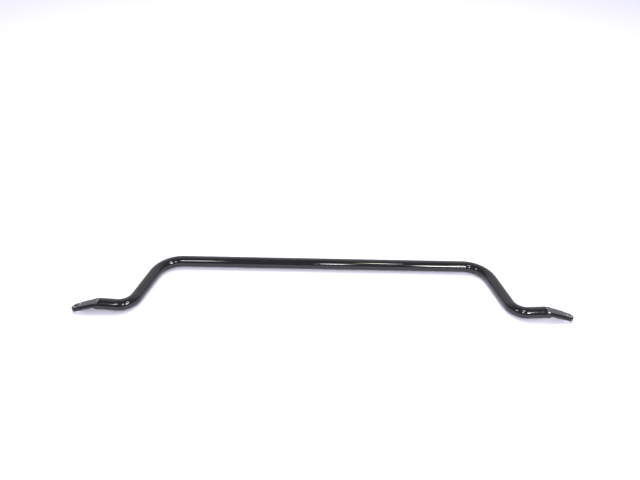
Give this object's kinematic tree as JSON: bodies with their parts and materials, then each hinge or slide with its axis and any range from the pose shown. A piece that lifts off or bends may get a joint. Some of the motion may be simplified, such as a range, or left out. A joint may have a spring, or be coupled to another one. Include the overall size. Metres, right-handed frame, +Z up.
{
  "type": "sway bar",
  "caption": "One-piece round steel sway bar with a long straight section, two swept arms, short outward stubs and flattened, drooping end eyes with link holes.",
  "frame": {"origin": "on the ground plane, below the middle of the bar's footprint; the straight section's axis runs along X above it, towards +Y", "axes": "+X along the straight section to the right-hand eye, +Y from the eyes back to the straight section, +Z up from the flat plane of the arms"},
  "size_m": [1.0534, 0.1712, 0.0298],
  "materials": {
    "bar_paint": "gloss black paint over smooth drawn bar",
    "eye_paint": "gloss black paint over a forged surface, thinner and worn round the hole"
  },
  "bodies": {
    "middle": {"centre_span": "bar_paint"},
    "left_end": {"left_bush_seat": "bar_paint", "left_shoulder_bend": "bar_paint", "left_arm": "bar_paint", "left_knee_bend": "bar_paint", "left_stub": "bar_paint", "left_eye_neck": "eye_paint", "left_eye": "eye_paint"},
    "right_end": {"right_bush_seat": "bar_paint", "right_shoulder_bend": "bar_paint", "right_arm": "bar_paint", "right_knee_bend": "bar_paint", "right_stub": "bar_paint", "right_eye_neck": "eye_paint", "right_eye": "eye_paint"}
  },
  "joints": [
    {"name": "left_twist", "type": "hinge", "parent": "middle", "child": "left_end", "pos_m": [-0.25729, 0.07309, 0.0125], "axis": [1, 0, 0], "range_deg": [-12, 12], "stiffness_Nm_per_rad": 9600},
    {"name": "right_twist", "type": "hinge", "parent": "middle", "child": "right_end", "pos_m": [0.25729, 0.07309, 0.0125], "axis": [1, 0, 0], "range_deg": [-12, 12], "stiffness_Nm_per_rad": 9600}
  ],
  "couplings": [
    {"joint": "right_twist", "follows": "left_twist", "ratio": -1}
  ]
}
